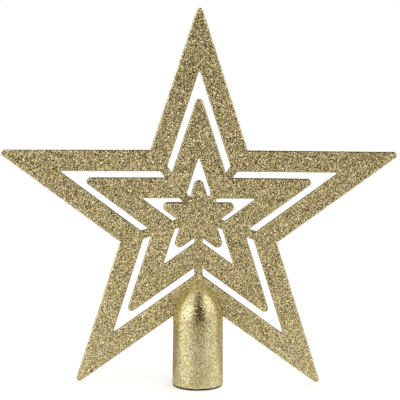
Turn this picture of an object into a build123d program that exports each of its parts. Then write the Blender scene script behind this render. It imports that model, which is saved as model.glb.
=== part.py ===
from build123d import *
from math import cos, pi, radians, sin
import os

# Tree topper: three nested star shells on a hidden five-armed frame, standing on a round socket.
# Millimetres, +Z up, front towards -Y, origin at the middle of the socket's open rim.

# Star shape, the same for every outline
point_count = 5
tip_half_angle_degrees = 18.25

# Outlines, measured from the centre square to the star's sides, from the inside out
inner_star_side = 7.1
inner_gap = 2.05
middle_bar_width = 9.8
outer_gap = 3.2
outer_bar_width = 10.1

# Roundings of the star's corners and face edges
outer_tip_round = 1.5
middle_tip_round = 1.75
inner_tip_round = 2.25
slot_tip_round = 0.5
edge_round = 0.8

# Shells, which meet at mid thickness in a lap joint
star_thickness = 3.4
face_wall = 0.8
side_wall = 1.2
lip_thickness = 0.5
lip_height = 0.5
lip_clearance = 0.05

# Bridge frame inside the shells
bridge_width = 4.0
bridge_recess = 0.3
arm_width = 3.0
anchor_width = 8.0
hub_radius = 5.0
frame_clearance = 0.1
tang_head_width = 5.0
tang_head_depth = 3.4
tang_head_height = 1.6

# Socket for the tree's leading shoot
rim_radius = 12.3
shoulder_radius = 12.1
dome_height = 19.8
dome_drop = 3.7
bore_radius = 10.0
bore_depth = 30.0
bore_cone_height = 8.0
bore_top_radius = 4.0
roof_thickness = 4.65
rim_round = 1.2
mouth_chamfer = 0.5
seat_clearance = 0.1

# Distances of the other outlines' sides from the centre
middle_hole_side = inner_star_side + inner_gap
middle_star_side = middle_hole_side + middle_bar_width
outer_hole_side = middle_star_side + outer_gap
outer_star_side = outer_hole_side + outer_bar_width

# Angles of the sides to the lines from the centre to a tip and to a notch
half_pitch = pi / point_count
tip_half_angle = radians(tip_half_angle_degrees)
notch_half_angle = tip_half_angle + half_pitch


def tip_radius(side):
    return side / sin(tip_half_angle)


def notch_radius(side):
    return side / sin(notch_half_angle)


# Heights, stacked from the rim: bore, its cone, the roof, and the star's bottom notch on the roof
bore_top_height = bore_depth + bore_cone_height
star_seat_height = bore_top_height + roof_thickness
star_centre_height = star_seat_height + notch_radius(outer_star_side)
dome_top_height = star_centre_height - notch_radius(outer_hole_side) - dome_drop
shoulder_height = dome_top_height - dome_height

# Thicknesses across the star
half_thickness = star_thickness / 2
cavity_depth = half_thickness - face_wall
arm_half_thickness = cavity_depth - frame_clearance
bridge_half_thickness = half_thickness - bridge_recess

# The star's mid plane, seen from the front and from the back
star_centre = (0, 0, star_centre_height)
front_plane = Plane(origin=star_centre, x_dir=(1, 0, 0), z_dir=(0, -1, 0))
back_plane = Plane(origin=star_centre, x_dir=(-1, 0, 0), z_dir=(0, 1, 0))

# Arms run from the centre towards the notches, the first one straight down
first_arm_degrees = -90
arm_reach = notch_radius(outer_star_side - side_wall - frame_clearance)
tang_reach = star_centre_height - bore_top_height


def star_face(side, tip_round):
    """Star whose sides lie at the given distance from the centre, with its tips rounded."""
    corners = []
    for step in range(point_count):
        to_tip = pi / 2 + 2 * half_pitch * step
        to_notch = to_tip + half_pitch
        corners.append((tip_radius(side) * cos(to_tip), tip_radius(side) * sin(to_tip)))
        corners.append((notch_radius(side) * cos(to_notch), notch_radius(side) * sin(to_notch)))
    with BuildSketch() as outline:
        with BuildLine():
            Polyline(*corners, close=True)
        make_face()
        tips = outline.vertices().sort_by_distance((0, 0))[-point_count:]
        fillet(tips, radius=tip_round)
    return outline.sketch


def ring_face(edge_side, edge_tip_round, hole_side, inset=0):
    """Star frame between two outlines, or a whole star without a hole, drawn in by inset all round."""
    with BuildSketch() as ring:
        add(star_face(edge_side - inset, edge_tip_round))
        if hole_side is not None:
            add(star_face(hole_side + inset, slot_tip_round), mode=Mode.SUBTRACT)
    return ring.sketch


def spokes_face(width):
    """Strips from the centre towards the notches, ending inside the outer star."""
    with BuildSketch() as spokes:
        with PolarLocations(0, point_count, first_arm_degrees):
            Rectangle(arm_reach, width, align=(Align.MIN, Align.CENTER))
    return spokes.sketch


def tang_face(clearance):
    """Strip from the centre down the lowest arm to the underside of the socket's roof."""
    with BuildSketch() as tang:
        Rectangle(arm_width + 2 * clearance, tang_reach, align=(Align.CENTER, Align.MAX))
    return tang.sketch


def star_shell(name, plane, outline):
    """Half of one star: a face, side walls down to the mid plane, a lap joint, and windows for the arms."""
    has_lip = plane is front_plane
    lip_room = 0 if has_lip else lip_clearance
    cavity = ring_face(*outline, inset=side_wall)
    lip = ring_face(*outline, inset=side_wall - lip_thickness - lip_room)
    windows = spokes_face(arm_width + 2 * frame_clearance)
    tang_window = tang_face(frame_clearance)
    with BuildPart() as shell:
        with BuildSketch(plane):
            add(ring_face(*outline))
        extrude(amount=half_thickness)
        outer_face = shell.faces().sort_by(Axis(plane.origin, plane.z_dir))[-1]
        fillet(outer_face.edges(), radius=edge_round)
        # The front shell's lip stands past the mid plane, into a step cut in the back shell's walls
        with BuildSketch(plane):
            add(lip)
        if has_lip:
            extrude(amount=-lip_height)
        else:
            extrude(amount=lip_height + lip_clearance, mode=Mode.SUBTRACT)
        with BuildSketch(plane):
            add(cavity)
        extrude(amount=cavity_depth, both=True, mode=Mode.SUBTRACT)
        with BuildSketch(plane):
            add(windows)
            if outline is outer_star:
                add(tang_window)
        extrude(amount=cavity_depth, both=True, mode=Mode.SUBTRACT)
    shell.part.label = name
    return shell.part


def bridge_frame():
    """Five arms from a hub, with anchors in the shells, bridges across the gaps and a tang into the socket."""
    arms = spokes_face(arm_width)
    anchor_strips = spokes_face(anchor_width)
    bridge_strips = spokes_face(bridge_width)
    anchor_inset = side_wall + frame_clearance
    with BuildPart() as frame:
        with BuildSketch(front_plane):
            add(ring_face(*outer_star, inset=anchor_inset))
            add(ring_face(*middle_star, inset=anchor_inset))
            add(anchor_strips, mode=Mode.INTERSECT)
            add(arms)
            add(tang_face(0))
        extrude(amount=arm_half_thickness, both=True)
        with BuildSketch(front_plane):
            Circle(hub_radius)
            add(ring_face(*inner_star, inset=anchor_inset), mode=Mode.INTERSECT)
        extrude(amount=arm_half_thickness, both=True)
        with BuildSketch(front_plane):
            add(star_face(outer_hole_side, slot_tip_round))
            add(star_face(middle_star_side, middle_tip_round), mode=Mode.SUBTRACT)
            add(star_face(middle_hole_side, slot_tip_round))
            add(star_face(inner_star_side, inner_tip_round), mode=Mode.SUBTRACT)
            add(bridge_strips, mode=Mode.INTERSECT)
        extrude(amount=bridge_half_thickness, both=True)
        # The tang's end, staked flat against the underside of the socket's roof
        with BuildSketch(Plane.XY.offset(bore_top_height)):
            Rectangle(tang_head_width, tang_head_depth)
        extrude(amount=-tang_head_height)
    frame.part.label = "bridge_frame"
    return frame.part


def socket():
    """Tapered tube with a pointed dome, bored from below and slotted over the star's bottom notch."""
    seat = star_face(outer_star_side + seat_clearance, slot_tip_round)
    roof_hole = tang_face(frame_clearance)
    with BuildPart() as body:
        with BuildSketch(Plane.XZ):
            with BuildLine():
                flank = Line((rim_radius, 0), (shoulder_radius, shoulder_height))
                TangentArc(flank @ 1, (0, dome_top_height), tangent=flank % 1)
                Polyline((0, dome_top_height), (0, 0), (rim_radius, 0))
            make_face()
        revolve(axis=Axis.Z)
        rim = body.edges().filter_by(GeomType.CIRCLE).sort_by(Axis.Z)[0]
        fillet(rim, radius=rim_round)
        with BuildSketch(Plane.XZ):
            with BuildLine():
                Polyline(
                    (0, 0),
                    (bore_radius + mouth_chamfer, 0),
                    (bore_radius, mouth_chamfer),
                    (bore_radius, bore_depth),
                    (bore_top_radius, bore_top_height),
                    (0, bore_top_height),
                    close=True,
                )
            make_face()
        revolve(axis=Axis.Z, mode=Mode.SUBTRACT)
        with BuildSketch(front_plane):
            add(seat)
        extrude(amount=half_thickness + seat_clearance, both=True, mode=Mode.SUBTRACT)
        with BuildSketch(front_plane):
            add(roof_hole)
        extrude(amount=arm_half_thickness + frame_clearance, both=True, mode=Mode.SUBTRACT)
    body.part.label = "socket"
    return body.part


# Each star's side, the rounding of its tips, and the side of the hole in it
outer_star = (outer_star_side, outer_tip_round, outer_hole_side)
middle_star = (middle_star_side, middle_tip_round, middle_hole_side)
inner_star = (inner_star_side, inner_tip_round, None)

pieces = [
    star_shell("outer_star_front", front_plane, outer_star),
    star_shell("outer_star_back", back_plane, outer_star),
    star_shell("middle_star_front", front_plane, middle_star),
    star_shell("middle_star_back", back_plane, middle_star),
    star_shell("inner_star_front", front_plane, inner_star),
    star_shell("inner_star_back", back_plane, inner_star),
    bridge_frame(),
    socket(),
]

os.makedirs("parts", exist_ok=True)
for piece in pieces:
    export_step(piece, "parts/" + piece.label + ".step")
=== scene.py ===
import bpy
import numpy as np
from math import cos, pi, radians, sin
from mathutils import Matrix, Vector


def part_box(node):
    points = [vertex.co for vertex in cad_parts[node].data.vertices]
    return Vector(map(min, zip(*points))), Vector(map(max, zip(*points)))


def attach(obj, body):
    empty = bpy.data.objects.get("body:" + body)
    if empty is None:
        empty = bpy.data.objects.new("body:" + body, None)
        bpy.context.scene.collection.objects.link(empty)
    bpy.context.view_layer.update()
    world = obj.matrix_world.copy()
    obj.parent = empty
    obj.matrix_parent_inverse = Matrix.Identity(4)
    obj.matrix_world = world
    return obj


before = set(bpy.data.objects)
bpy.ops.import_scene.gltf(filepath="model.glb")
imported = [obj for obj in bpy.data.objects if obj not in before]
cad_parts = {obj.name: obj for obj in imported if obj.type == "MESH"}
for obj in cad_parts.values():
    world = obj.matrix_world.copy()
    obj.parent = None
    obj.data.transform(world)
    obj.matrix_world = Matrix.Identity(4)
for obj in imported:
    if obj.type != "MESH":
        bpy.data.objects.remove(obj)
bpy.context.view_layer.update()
scene = bpy.context.scene
mm = 0.001  # lengths without it are in metres
print("frame loaded,", len(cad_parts), "nodes")


# star outlines: distance of each star's sides from the centre, outside and hole
star = {
    "points": 5,
    "tipHalfAngle": radians(18.25),
    "tipRound": 1.5 * mm,
    "sides": {
        "outer_star": (32.25 * mm, 22.15 * mm),
        "middle_star": (18.95 * mm, 9.15 * mm),
        "inner_star": (7.1 * mm, None),
    },
    "halfThickness": 1.7 * mm,
    "faceDepth": 0.95 * mm,  # anything further from the mid plane than this is a face or its rounded edge
}
outerSide, outerHole = star["sides"]["outer_star"]
tipReach = (outerSide - star["tipRound"]) / sin(star["tipHalfAngle"]) + star["tipRound"]
star["centreHeight"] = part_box("outer_star_front")[1].z - tipReach

socket = {
    "shoulderRadius": 12.1 * mm,
    "rimRadius": 12.3 * mm,
    "domeHeight": 19.8 * mm,
    "domeTop": 51.40 * mm,
    "rimRound": 1.2 * mm,
}
socket["shoulderHeight"] = socket["domeTop"] - socket["domeHeight"]


def feed(tree, node, values):
    # each input takes another node's output, or a plain value
    for label, value in values.items():
        if isinstance(value, bpy.types.NodeSocket):
            tree.links.new(value, node.inputs[label])
        else:
            node.inputs[label].default_value = value


def addNode(tree, kind, values=None, operation=None):
    # a shader node with its inputs fed; gives its outputs
    node = tree.nodes.new("ShaderNode" + kind)
    if operation:
        node.operation = operation
    feed(tree, node, values or {})
    return node.outputs


def ranged(tree, value, start=(0.0, 1.0), end=(0.0, 1.0)):
    # the value carried from one range into another, and kept inside it
    limits = dict(zip(("From Min", "From Max", "To Min", "To Max"), (*start, *end)))
    return addNode(tree, "MapRange", {"Value": value, **limits})["Result"]


def times(tree, first, second):
    return addNode(tree, "Math", {0: first, 1: second}, "MULTIPLY")[0]


def lengthOf(tree, vector):
    return addNode(tree, "VectorMath", {0: vector}, "LENGTH")["Value"]


def mixed(tree, share, first, second):
    # the first colour where the share is 0, the second where it is 1
    node = tree.nodes.new("ShaderNodeMix")
    node.data_type = "RGBA"
    feed(tree, node, {"Factor": share, 6: first, 7: second})  # 6, 7 and 2 are the sockets for colours
    return node.outputs[2]


def seenRays(tree):
    # 1 for rays from the camera, from gloss and through glass
    rays = addNode(tree, "LightPath")
    seen = rays["Is Camera Ray"]
    for kind in ("Is Glossy Ray", "Is Transmission Ray"):
        seen = addNode(tree, "Math", {0: seen, 1: rays[kind]}, "MAXIMUM")[0]
    return seen


def principled(name, values):
    # a material of one Principled shader with plain values
    mat = bpy.data.materials.new(name)
    mat.use_nodes = True
    shader = mat.node_tree.nodes["Principled BSDF"]
    feed(mat.node_tree, shader, values)
    return mat, shader


# a pale floor and a white surround; near the star the floor still takes a faint shadow, and right under the
# socket's rim a painted contact shadow
studio = {
    "floorColour": (0.98, 0.98, 0.98),
    "floorReach": 6.0,
    "floorRoughness": 0.2,
    "floorGlow": 0.1,  # share of plain white in the floor near the star, to the camera
    "reflectedGlow": 0.5,  # and the same share in reflections
    "cameraLift": 0.17,  # white added there for the camera, so that only deep shadow shows
    "shadowReach": (0.15, 0.40),  # the shadow fades out between these distances
    "paintedShadowReach": (11.6 * mm, 12.4 * mm),  # the painted contact shadow under the rim fades out here
    "paintedShadowShift": (0.1 * mm, 0.8 * mm, 0),  # and lies this far to the left and to the front
    # colour of the painted contact shadow
    "paintedShadowColour": (0.02, 0.018, 0.012),
    "worldColour": (1, 1, 1, 1),
    "worldDiffuse": 1.0,
    "worldLean": 0.6,  # how much stronger the scattered light is from the right than from above
}


def floorMaterial():
    mat = bpy.data.materials.new("paleFloor")
    mat.use_nodes = True
    tree = mat.node_tree
    tree.nodes.clear()
    rays = addNode(tree, "LightPath")
    place = addNode(tree, "TexCoord")["Object"]
    away = lengthOf(tree, place)
    # painted contact shadow: a dark colour and no glow right under the rim
    shifted = addNode(tree, "VectorMath", {0: place, 1: studio["paintedShadowShift"]})[0]
    rim = ranged(tree, lengthOf(tree, shifted), studio["paintedShadowReach"])
    tone = mixed(tree, rim, (*studio["paintedShadowColour"], 1), (*studio["floorColour"], 1))
    diffuse = addNode(tree, "BsdfDiffuse", {"Color": tone})[0]
    # plain white far from the star, and a share of it close by
    closeGlow = ranged(tree, rays["Is Camera Ray"], end=(studio["reflectedGlow"], studio["floorGlow"]))
    glowShare = times(tree, ranged(tree, away, studio["shadowReach"], (closeGlow, 1.0)), rim)
    glow = addNode(tree, "Emission")[0]
    share = times(tree, glowShare, seenRays(tree))
    plain = addNode(tree, "MixShader", {"Fac": share, 1: diffuse, 2: glow})[0]
    # a satin sheen that only the part's own reflections see
    sheen = addNode(tree, "BsdfGlossy", {"Roughness": studio["floorRoughness"]})[0]
    graze = addNode(tree, "Fresnel")["Fac"]
    sheenShare = times(tree, graze, rays["Is Glossy Ray"])
    satin = addNode(tree, "MixShader", {"Fac": sheenShare, 1: plain, 2: sheen})[0]
    # white that only the camera sees, down to none where the shadow has faded out
    level = ranged(tree, away, studio["shadowReach"], (studio["cameraLift"], 0.0))
    clear = times(tree, times(tree, level, rays["Is Camera Ray"]), rim)
    lift = addNode(tree, "Emission", {"Strength": clear})[0]
    lifted = addNode(tree, "AddShader", {0: satin, 1: lift})[0]
    addNode(tree, "OutputMaterial", {"Surface": lifted})
    return mat


def stagePlane(name, corners, material):
    # one quad through four corners, in order
    mesh = bpy.data.meshes.new(name)
    mesh.from_pydata(corners, [], [(0, 1, 2, 3)])
    mesh.materials.append(material)
    plane = bpy.data.objects.new(name, mesh)
    scene.collection.objects.link(plane)
    return plane


def layFloor():
    reach = studio["floorReach"]
    corners = [(-reach, -reach, 0), (reach, -reach, 0), (reach, reach, 0), (-reach, reach, 0)]
    stagePlane("floor", corners, floorMaterial())


def studioWorld():
    # white to the camera and to reflections; scattered light grows from the left to the right
    world = bpy.data.worlds.new("studio")
    scene.world = world
    world.use_nodes = True
    tree = world.node_tree
    tree.nodes.clear()
    direction = addNode(tree, "TexCoord")["Generated"]
    across = addNode(tree, "SeparateXYZ", {0: direction})["X"]
    level, lean = studio["worldDiffuse"], studio["worldLean"]
    strength = ranged(tree, across, (-1.0, 1.0), (level * (1 - lean), level * (1 + lean)))
    soft = addNode(tree, "Background", {"Color": studio["worldColour"], "Strength": strength})[0]
    white = addNode(tree, "Background", {"Color": studio["worldColour"]})[0]
    mix = addNode(tree, "MixShader", {"Fac": seenRays(tree), 1: soft, 2: white})[0]
    addNode(tree, "OutputWorld", {"Surface": mix})


# cards that only reflections see: dark ones, as the dark room round a white sweep, before, above and behind
# the star and on the floor past the sweep's front edge; grey ones on the floor behind and beside the socket,
# which are painted shadow of the star and socket on the floor, seen only in reflections
cards = {
    "shades": {
        "darkCard": (0.045, 0.032, 0.013),  # for every card that has no shade of its own
        # grey cards: painted shadow on the floor, which only reflections see
        "backFloorLeftShadowCard": (0.38, 0.38, 0.38),
        "backFloorRightShadowCard": (0.55, 0.55, 0.55),
        "leftBesideShadowCard": (0.79, 0.79, 0.79),
        "rightBesideShadowCard": (0.70, 0.68, 0.62),
        "frontBesideShadowCard": (0.76, 0.72, 0.62),
    },
    "roughness": 0.9,
    "distance": 1.5,
    "height": 2.4,
    "left": -0.55,
    "right": 1.0,
    "lowHeight": 0.6,
    "halfWidth": 2.6,  # of the low card and the floor cards behind
    "frontEdge": 0.125,
    "backEdge": 0.014,
    # where the grey cards of painted shadow lie round the socket
    "leftBeside": (-0.055, -0.013, -0.014, 0.014),  # left, right, front and back
    "rightBeside": (0.013, 0.055, -0.050, -0.018),
    "frontBeside": (-0.013, 0.013, -0.125, -0.016),
    "gap": 0.5 * mm,  # above the floor, and between the two cards behind
}


def cardMaterials():
    made = {}
    for name, shade in cards["shades"].items():
        made[name], _ = principled(name, {"Base Color": (*shade, 1), "Roughness": cards["roughness"]})
    return made


def cardCorners():
    left, right, far, high = cards["left"], cards["right"], cards["distance"], cards["height"]
    wide, back, gap = cards["halfWidth"], cards["backEdge"], cards["gap"]
    upright = {
        "frontCard": (left, right, -far, high),
        "backCard": (left, right, far, high),
        "lowBackCard": (-wide, wide, far + gap, cards["lowHeight"]),
    }
    level = {
        "topCard": (left, right, -far, far, high),
        "frontFloorCard": (left, right, -far, -cards["frontEdge"], gap),
        "backFloorLeftShadowCard": (-wide, 0, back, far, gap),
        "backFloorRightShadowCard": (0, wide, back, far, gap),
        "leftBesideShadowCard": (*cards["leftBeside"], gap),
        "rightBesideShadowCard": (*cards["rightBeside"], gap),
        "frontBesideShadowCard": (*cards["frontBeside"], gap),
    }
    corners = {}
    for name, (x0, x1, y, z) in upright.items():
        corners[name] = [(x0, y, 0), (x1, y, 0), (x1, y, z), (x0, y, z)]
    for name, (x0, x1, y0, y1, z) in level.items():
        corners[name] = [(x0, y0, z), (x1, y0, z), (x1, y1, z), (x0, y1, z)]
    return corners


def hangCards():
    materials = cardMaterials()
    for name, corners in cardCorners().items():
        card = stagePlane(name, corners, materials.get(name, materials["darkCard"]))
        card.visible_camera = False
        card.visible_diffuse = False
        card.visible_shadow = False


lamps = {
    "leftSoftbox": {"azimuth": -62, "height": 0.32, "distance": 1.0, "size": (0.8, 0.6), "power": 1.3},
    "rightSoftbox": {"azimuth": 75, "height": 0.70, "distance": 1.0, "size": (0.8, 0.55), "power": 0.93},
}


def softbox(name, lamp):
    # a rectangle lamp on a circle round the star, turned to its centre
    data = bpy.data.lights.new(name, "AREA")
    data.shape = "RECTANGLE"
    data.size, data.size_y = lamp["size"]
    data.energy = lamp["power"]
    box = bpy.data.objects.new(name, data)
    turn = radians(lamp["azimuth"])
    place = Vector((sin(turn) * lamp["distance"], -cos(turn) * lamp["distance"], lamp["height"]))
    aim = Vector((0, 0, star["centreHeight"])) - place
    box.location = place
    box.rotation_euler = aim.to_track_quat("-Z", "Y").to_euler()
    scene.collection.objects.link(box)


layFloor()
studioWorld()
hangCards()
for name, lamp in lamps.items():
    softbox(name, lamp)

camera = {
    "place": (0.61 * mm, -550 * mm, 63.8 * mm),  # from the star's centre
    "pitchDown": radians(5.775),
    "roll": radians(0.348),
    "focalPixels": 1147.0,
    "imagePixels": 400,
    "sensor": 36.0,  # in the millimetres of Blender's lenses
}


def setCamera():
    data = bpy.data.cameras.new("camera")
    data.sensor_width = camera["sensor"]
    data.lens = camera["focalPixels"] * camera["sensor"] / camera["imagePixels"]
    view = bpy.data.objects.new("camera", data)
    scene.collection.objects.link(view)
    place = Vector(camera["place"]) + Vector((0, 0, star["centreHeight"]))
    turn = Matrix.Rotation(pi / 2 - camera["pitchDown"], 4, "X") @ Matrix.Rotation(camera["roll"], 4, "Z")
    view.matrix_world = Matrix.Translation(place) @ turn
    scene.camera = view


setCamera()
scene.view_settings.view_transform = "Standard"
print("studio and camera set")


# what all glitter shares
glitter = {
    "midTone": 0.5,  # the tone, from 0 to 1, at which a flake has its middle colour
    "randomMiddle": (0.5, 0.5, 0.5),
    "edgeFacing": (0.80, 0.98),  # an edge below, a face above: the normal's share to the front or back
    "edgeTint": (0.85, 0.70, 0.38),  # keeps the metal gold at grazing angles too
    "coatRoughness": 0.2,
}
glitterSockets = {
    "INPUT": {
        "NodeSocketColor": ("Deep", "Mid", "Pale"),
        "NodeSocketFloat": ("Cells Per Metre", "Dark Share", "Tilt", "Edge Tilt", "Smooth", "Rough"),
    },
    "OUTPUT": {
        "NodeSocketColor": ("Color",),
        "NodeSocketFloat": ("Roughness", "Coat Weight"),
        "NodeSocketVector": ("Normal",),
    },
}


def glitterGroup():
    # glitter bedded in lacquer: random cells, each with its own tone, shine and tilt
    group = bpy.data.node_groups.new("glitterCells", "ShaderNodeTree")
    for way, kinds in glitterSockets.items():
        for kind, labels in kinds.items():
            for label in labels:
                group.interface.new_socket(label, in_out=way, socket_type=kind)
    into = group.nodes.new("NodeGroupInput").outputs
    place = addNode(group, "TexCoord")["Object"]
    cells = addNode(group, "TexVoronoi", {"Vector": place, "Scale": into["Cells Per Metre"]})["Color"]
    # a second random number for each cell, so that tone and shine don't follow the tilt
    again = addNode(group, "TexWhiteNoise", {"Vector": cells})["Color"]
    random = addNode(group, "SeparateColor", {0: again})
    # few dark cells, many pale ones: deep to mid up to the middle tone, mid to pale above it
    tone = addNode(group, "Math", {0: random[0], 1: into["Dark Share"]}, "POWER")[0]
    lower = mixed(group, ranged(group, tone, (0.0, glitter["midTone"])), into["Deep"], into["Mid"])
    colour = mixed(group, ranged(group, tone, (glitter["midTone"], 1.0)), lower, into["Pale"])
    shine = ranged(group, random[1], end=(into["Smooth"], into["Rough"]))
    # normal plus a random push, made unit length again; edges have a push of their own
    normal = addNode(group, "NewGeometry")["Normal"]
    ahead = addNode(group, "SeparateXYZ", {0: normal})["Y"]
    facing = addNode(group, "Math", {0: ahead}, "ABSOLUTE")[0]
    amount = ranged(group, facing, glitter["edgeFacing"], (into["Edge Tilt"], into["Tilt"]))
    centred = addNode(group, "VectorMath", {0: cells, 1: glitter["randomMiddle"]}, "SUBTRACT")[0]
    push = addNode(group, "VectorMath", {0: centred, "Scale": amount}, "SCALE")[0]
    total = addNode(group, "VectorMath", {0: push, 1: normal})[0]
    tilted = addNode(group, "VectorMath", {0: total}, "NORMALIZE")[0]
    out = group.nodes.new("NodeGroupOutput")
    feed(group, out, {"Color": colour, "Roughness": shine, "Coat Weight": tone, "Normal": tilted})
    return group


glitterCells = glitterGroup()

# darkShare is the power on each flake's random tone, the smaller the fewer dark ones
gold = {
    "deep": (0.04, 0.026, 0.0),
    "mid": (0.81, 0.66, 0.245),
    "pale": (0.94, 0.845, 0.65),
    "darkShare": 0.80,
    "coatIor": 1.55,
    "flakeRoughness": 0.16,
    "flakeMetal": 1.0,
}
lacquer = {
    "deep": (0.62, 0.48, 0.13),
    "mid": (0.765, 0.615, 0.205),
    "pale": (0.97, 0.87, 0.49),
    "darkShare": 0.70,
    "coatIor": 3.4,  # a strong coat, for the clear reflections on the socket
    "flakeRoughness": 0.2,
    "flakeMetal": 1.0,
}
# a paler copy of the gold, mostly not metal, for glitter spilled round the dome: painted light, which
# brightens the faces that the dome shades
paintedLightSeamGold = {
    "deep": (0.62, 0.47, 0.12),
    "mid": (0.92, 0.76, 0.28),
    "pale": (1.0, 0.92, 0.52),
    "darkShare": 0.70,
    "coatIor": 1.55,
    "flakeRoughness": 0.45,
    "flakeMetal": 0.15,  # little, so that the flakes look yellow and bright from all sides: part of the painted light
}
starCells = {
    "Cells Per Metre": 3200.0,
    "Tilt": 1.1,
    "Edge Tilt": 0.4,
    "Smooth": 0.10,
    "Rough": 0.22,
}
socketCells = {
    "Cells Per Metre": 2700.0,
    "Tilt": 0.30,
    "Edge Tilt": 0.30,
    "Smooth": 0.12,
    "Rough": 0.25,
}


def coated(name, tones, metal):
    # metal under a clear coat
    return principled(name, {
        "Metallic": metal,
        "Specular Tint": (*glitter["edgeTint"], 1),
        "Coat IOR": tones["coatIor"],
        "Coat Roughness": glitter["coatRoughness"],
    })


def beddedGlitter(name, tones, cells):
    mat, shader = coated(name, tones, 1.0)
    group = mat.node_tree.nodes.new("ShaderNodeGroup")
    group.node_tree = glitterCells
    feed(mat.node_tree, group, {**cells, "Dark Share": tones["darkShare"]})
    feed(mat.node_tree, group, {tone.title(): (*tones[tone], 1) for tone in ("deep", "mid", "pale")})
    made = group.outputs
    feed(mat.node_tree, shader, {
        "Base Color": made["Color"],
        "Roughness": made["Roughness"],
        "Coat Weight": made["Coat Weight"],
        "Normal": made["Normal"],
    })
    return mat


def looseGlitter(name, tones):
    # flakes take their tone from the flakeTone attribute
    mat, shader = coated(name, tones, tones["flakeMetal"])
    attribute = mat.node_tree.nodes.new("ShaderNodeAttribute")
    attribute.attribute_name = "flakeTone"
    tone = attribute.outputs["Fac"]
    ramp = mat.node_tree.nodes.new("ShaderNodeValToRGB")
    ramp.color_ramp.elements[0].color = (*tones["deep"], 1)
    ramp.color_ramp.elements[1].color = (*tones["pale"], 1)
    ramp.color_ramp.elements.new(glitter["midTone"]).color = (*tones["mid"], 1)
    feed(mat.node_tree, ramp, {"Fac": tone})
    feed(mat.node_tree, shader, {
        "Base Color": ramp.outputs["Color"],
        "Roughness": tones["flakeRoughness"],
        "Coat Weight": tone,
    })
    return mat


starGlitter = beddedGlitter("starGlitter", gold, starCells)
socketGlitter = beddedGlitter("socketGlitter", lacquer, socketCells)
starFlake = looseGlitter("starFlake", gold)
socketFlake = looseGlitter("socketFlake", lacquer)
# flakes round the dome, in the paler gold: painted light
seamFlake = looseGlitter("seamFlake", paintedLightSeamGold)

for name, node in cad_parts.items():
    node.data.materials[0] = socketGlitter if name == "socket" else starGlitter
print("materials on the CAD nodes")


def starLevel(x, z):
    # distance from the star's centre to the side line through a point, once it is folded onto half a tip
    half = pi / star["points"]
    turn = np.arctan2(x, z)
    fold = np.abs((turn + half) % (2 * half) - half)
    reach = np.hypot(x, z)
    tip = star["tipHalfAngle"]
    return reach * np.cos(fold) * sin(tip) + reach * np.sin(fold) * cos(tip)


def socketRadius(z):
    # outside radius of the socket: straight taper, then an arc that meets the axis at the dome's top
    shoulder, high = socket["shoulderRadius"], socket["domeHeight"]
    arc = (shoulder * shoulder + high * high) / (2 * shoulder)
    up = np.clip(z - socket["shoulderHeight"], 0, high)
    dome = shoulder - arc + np.sqrt(arc * arc - up * up)
    taper = socket["rimRadius"] + (shoulder - socket["rimRadius"]) * z / socket["shoulderHeight"]
    return np.where(z < socket["shoulderHeight"], taper, dome)


# which of a node's triangles are outside skin, and so carry flakes
skin = {
    "probe": 0.01 * mm,  # step along a normal that tells which way a wall faces
    "steepShare": 0.3,  # a wall faces out or in where the level changes by more than this share of the step
    "wallFacing": 0.5,  # and where its normal has less than this to the front or back
    "faceFacing": 0.95,  # a flat face has more than this
    "edgeBand": 2.5 * mm,  # outside walls lie within this of a star's side
    "holeBand": 1.0 * mm,  # and walls of its hole within this
    "socketBand": 0.12 * mm,
    "rimInside": 10.9 * mm,
    "domeGap": 0.1 * mm,
    "leastLength": 1e-18,  # keeps a flat sliver from a division by zero
}


def trianglesOf(nodeName):
    # corners, normals and areas of a node's triangles, as whole arrays
    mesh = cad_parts[nodeName].data
    mesh.calc_loop_triangles()
    spots = np.empty(len(mesh.vertices) * 3, np.float32)
    mesh.vertices.foreach_get("co", spots)
    corners = np.empty(len(mesh.loop_triangles) * 3, np.int32)
    mesh.loop_triangles.foreach_get("vertices", corners)
    triangles = spots.reshape(-1, 3)[corners.reshape(-1, 3)].astype(float)
    cross = np.cross(triangles[:, 1] - triangles[:, 0], triangles[:, 2] - triangles[:, 0])
    length = np.linalg.norm(cross, axis=1)
    return triangles, cross / np.maximum(length, skin["leastLength"])[:, None], length / 2


def starSkin(nodeName, triangles, normals):
    # keeps faces, rounded edges and the walls of outside and hole, and leaves out the cavity and the seam
    side, hole = star["sides"][nodeName.rsplit("_", 1)[0]]
    x, y, z = triangles.mean(axis=1).T
    up = z - star["centreHeight"]
    level = starLevel(x, up)
    step = skin["probe"]
    steep = skin["steepShare"] * step
    outwards = starLevel(x + normals[:, 0] * step, up + normals[:, 2] * step) - level
    own = (y < step) if nodeName.endswith("front") else (y > -step)
    shell = np.abs(y) > star["faceDepth"]
    wall = (outwards > steep) & (level > side - skin["edgeBand"])
    if hole:
        wall |= (outwards < -steep) & (level < hole + skin["holeBand"])
    wall &= np.abs(normals[:, 1]) < skin["wallFacing"]
    return own & (shell | wall)


def socketSkin(nodeName, triangles, normals):
    # keeps the outside of the socket and its rounded rim
    x, y, z = triangles.mean(axis=1).T
    reach = np.hypot(x, y)
    side = np.abs(reach - socketRadius(z)) < skin["socketBand"]
    rim = (z < socket["rimRound"]) & (reach > skin["rimInside"])
    return side | rim


def bridgeSkin(nodeName, triangles, normals):
    # keeps the short bridges in the two gaps
    x, _, z = triangles.mean(axis=1).T
    level = starLevel(x, z - star["centreHeight"])
    middleSide, middleHole = star["sides"]["middle_star"]
    innerSide, _ = star["sides"]["inner_star"]
    outerGap = (level < outerHole) & (level > middleSide)
    innerGap = (level < middleHole) & (level > innerSide)
    return outerGap | innerGap


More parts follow.
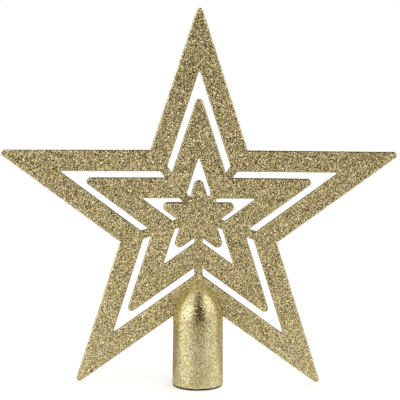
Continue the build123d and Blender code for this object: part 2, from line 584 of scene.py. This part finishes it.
def onStar(spots, up, flake, rng):
    # leaves out what the socket's dome covers, and most flakes on edges
    reach = np.hypot(spots[:, 0], spots[:, 1])
    clear = (spots[:, 2] > socket["domeTop"]) | (reach > socketRadius(spots[:, 2]) + skin["domeGap"])
    face = np.abs(up[:, 1]) > skin["faceFacing"]
    return clear & (face | (rng.random(len(spots)) < flake["edgeShare"]))


def onSocket(spots, up, flake, rng):
    # leaves none out
    return np.full(len(spots), True)


def strayed(spots, up, flake, rng):
    # only on the dome: thick at its tip, thinning out with the distance from the star's faces
    off = np.clip(np.abs(spots[:, 1]) - star["halfThickness"], 0, None)
    near = np.exp(-off / flake["fade"])
    near = np.where(spots[:, 2] > socket["domeTop"] - flake["tip"], 1, near)
    return (spots[:, 2] > socket["shoulderHeight"]) & (rng.random(len(spots)) < near)


def alongSeam(spots, up, flake, rng):
    # only round the dome's tip: thinning out with the distance from the dome's outline
    x, _, z = spots.T
    off = np.where(z > socket["domeTop"], np.hypot(x, z - socket["domeTop"]), np.abs(x) - socketRadius(z))
    near = np.exp(-off / flake["fade"]) * (z > socket["domeTop"] - flake["reach"])
    face = np.abs(up[:, 1]) > skin["faceFacing"]
    return (off > 0) & face & (rng.random(len(spots)) < near)


starFlakes = {
    "skin": starSkin,
    "where": onStar,
    "material": starFlake,
    "slot": "star_glitter",
    "darkShare": gold["darkShare"],
    "perSquareMillimetre": 2.8,
    "edgeShare": 0.35,
    "across": (0.27 * mm, 0.53 * mm),
    "tilt": radians(16),
    "lift": 0.05 * mm,
    "depth": 0.22 * mm,
}
bridgeFlakes = {**starFlakes, "skin": bridgeSkin, "slot": "bridge_glitter"}
socketFlakes = {
    "skin": socketSkin,
    "where": onSocket,
    "material": socketFlake,
    "slot": "socket_glitter",
    "darkShare": lacquer["darkShare"],
    "perSquareMillimetre": 2.2,
    "across": (0.28 * mm, 0.52 * mm),
    "tilt": radians(6),
    "lift": 0.03 * mm,
    "depth": 0.15 * mm,
}
# glitter spilled onto the dome, in the paler gold that paints light there
strayFlakes = {
    "skin": socketSkin,
    "where": strayed,
    "material": seamFlake,
    "slot": "socket_glitter",
    "darkShare": paintedLightSeamGold["darkShare"],
    "perSquareMillimetre": 7.0,
    "fade": 3.2 * mm,
    "tip": 5.0 * mm,
    "across": (0.34 * mm, 0.66 * mm),
    "tilt": radians(20),
    "lift": 0.06 * mm,
    "depth": 0.2 * mm,
}
# glitter spilled onto the star's faces round the dome's tip, in the paler gold that paints light there
seamFlakes = {
    "skin": starSkin,
    "where": alongSeam,
    "material": seamFlake,
    "slot": "star_glitter",
    "darkShare": paintedLightSeamGold["darkShare"],
    "perSquareMillimetre": 9.0,
    "fade": 3.0 * mm,
    "reach": 9.0 * mm,
    "across": (0.34 * mm, 0.60 * mm),
    "tilt": radians(16),
    "lift": 0.07 * mm,
    "depth": 0.2 * mm,
}
plate = {
    "sides": 6,
    "mapMiddle": 0.5,  # middle and radius of a flake in its cell of the bake map, where a cell is 1 wide
    "mapRadius": 0.42,
}
plateTurn = np.arange(plate["sides"]) * 2 * pi / plate["sides"]


def scatter(nodeName, flake, rng):
    # spots by area on a node's skin: a corner plus random shares of two sides, folded back into the triangle
    triangles, normals, areas = trianglesOf(nodeName)
    kept = flake["skin"](nodeName, triangles, normals)
    triangles, normals, areas = triangles[kept], normals[kept], areas[kept]
    count = int(areas.sum() / mm ** 2 * flake["perSquareMillimetre"])
    pick = rng.choice(len(areas), count, p=areas / areas.sum())
    one, two = rng.random((2, count, 1))
    over = one + two > 1
    one, two = np.where(over, 1 - one, one), np.where(over, 1 - two, two)
    corner, second, third = triangles[pick].transpose(1, 0, 2)
    spots = corner + one * (second - corner) + two * (third - corner)
    up = normals[pick]
    left = flake["where"](spots, up, flake, rng)
    return spots[left], up[left]


def tiltedPlates(spots, up, flake, rng):
    # rim: middle plus radius times (cos of the turn across, sin of the turn along), tilted at random;
    # the plate is closed by a point under the skin, at the middle less the depth times the normal
    count = len(spots)
    lean = rng.normal(0, np.tan(flake["tilt"]), (count, 3))
    up = up + lean - up * (lean * up).sum(axis=1, keepdims=True)
    up /= np.linalg.norm(up, axis=1, keepdims=True)
    across = np.cross(up, rng.normal(0, 1, (count, 3)))
    across /= np.linalg.norm(across, axis=1, keepdims=True)
    along = np.cross(up, across)
    small, large = flake["across"]
    radius = rng.uniform(small / 2, large / 2, (count, 1, 1))
    turn = plateTurn[None, :, None]
    ring = np.cos(turn) * across[:, None, :] + np.sin(turn) * along[:, None, :]
    middle = spots + up * flake["lift"]
    rimSpots = middle[:, None, :] + radius * ring
    return np.concatenate([rimSpots, (middle - up * flake["depth"])[:, None, :]], axis=1)


def plateMesh(name, points, tones):
    # each plate is one face and a fan of triangles down to its point
    count, sides = len(points), plate["sides"]
    spotsEach = sides + 1
    cornersEach = sides + 3 * sides
    number = np.arange(count)
    base = number[:, None] * spotsEach
    top = base + np.arange(sides)
    after = base + (np.arange(sides) + 1) % sides
    tip = np.repeat(base + sides, sides, axis=1)
    fan = np.stack([after, top, tip], axis=2).reshape(count, 3 * sides)
    loops = np.concatenate([top, fan], axis=1).ravel()
    starts = number[:, None] * cornersEach + np.append(0, sides + 3 * np.arange(sides))
    mesh = bpy.data.meshes.new(name)
    mesh.vertices.add(count * spotsEach)
    mesh.vertices.foreach_set("co", points.astype(np.float32).ravel())
    mesh.loops.add(count * cornersEach)
    mesh.loops.foreach_set("vertex_index", loops.astype(np.int32))
    mesh.polygons.add(count * (1 + sides))
    mesh.polygons.foreach_set("loop_start", starts.astype(np.int32).ravel())
    mesh.update(calc_edges=True)
    # each flake in a cell of its own on a square grid
    row = int(np.ceil(np.sqrt(count)))
    cell = np.stack([number % row, number // row], axis=1) + plate["mapMiddle"]
    spread = plate["mapRadius"] * np.stack([np.cos(plateTurn), np.sin(plateTurn)], axis=1)
    flat = np.concatenate([cell[:, None] + spread[None], cell[:, None]], axis=1).reshape(-1, 2) / row
    mesh.uv_layers.new(name="OFBake").data.foreach_set("uv", flat[loops].astype(np.float32).ravel())
    tone = mesh.attributes.new("flakeTone", "FLOAT", "POINT")
    tone.data.foreach_set("value", np.repeat(tones, spotsEach).astype(np.float32))
    return mesh


def strewFlakes(name, nodeName, flake, seed):
    # one piece of loose flakes on one node
    rng = np.random.default_rng(seed)
    spots, up = scatter(nodeName, flake, rng)
    points = tiltedPlates(spots, up, flake, rng)
    tones = rng.random(len(spots)) ** flake["darkShare"]
    mesh = plateMesh(name, points, tones)
    mesh.materials.append(flake["material"])
    piece = bpy.data.objects.new(name, mesh)
    scene.collection.objects.link(piece)
    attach(piece, "root")
    print(name, len(spots), "flakes")


seeds = {
    "front": 20,  # of the outer star, and one more for each star inside it
    "back": 30,
    "bridge": 50,
    "socket": 60,
    "stray": 70,
    "seamFront": 80,
    "seamBack": 90,
}

for number, starName in enumerate(star["sides"]):
    for half in ("front", "back"):
        shell = starName + "_" + half
        strewFlakes(shell + "_glitter", shell, starFlakes, seeds[half] + number)
strewFlakes("bridge_glitter_flakes", "bridge_frame", bridgeFlakes, seeds["bridge"])
strewFlakes("socket_glitter_flakes", "socket", socketFlakes, seeds["socket"])
strewFlakes("socket_stray_flakes", "socket", strayFlakes, seeds["stray"])
strewFlakes("seam_front_flakes", "outer_star_front", seamFlakes, seeds["seamFront"])
strewFlakes("seam_back_flakes", "outer_star_back", seamFlakes, seeds["seamBack"])
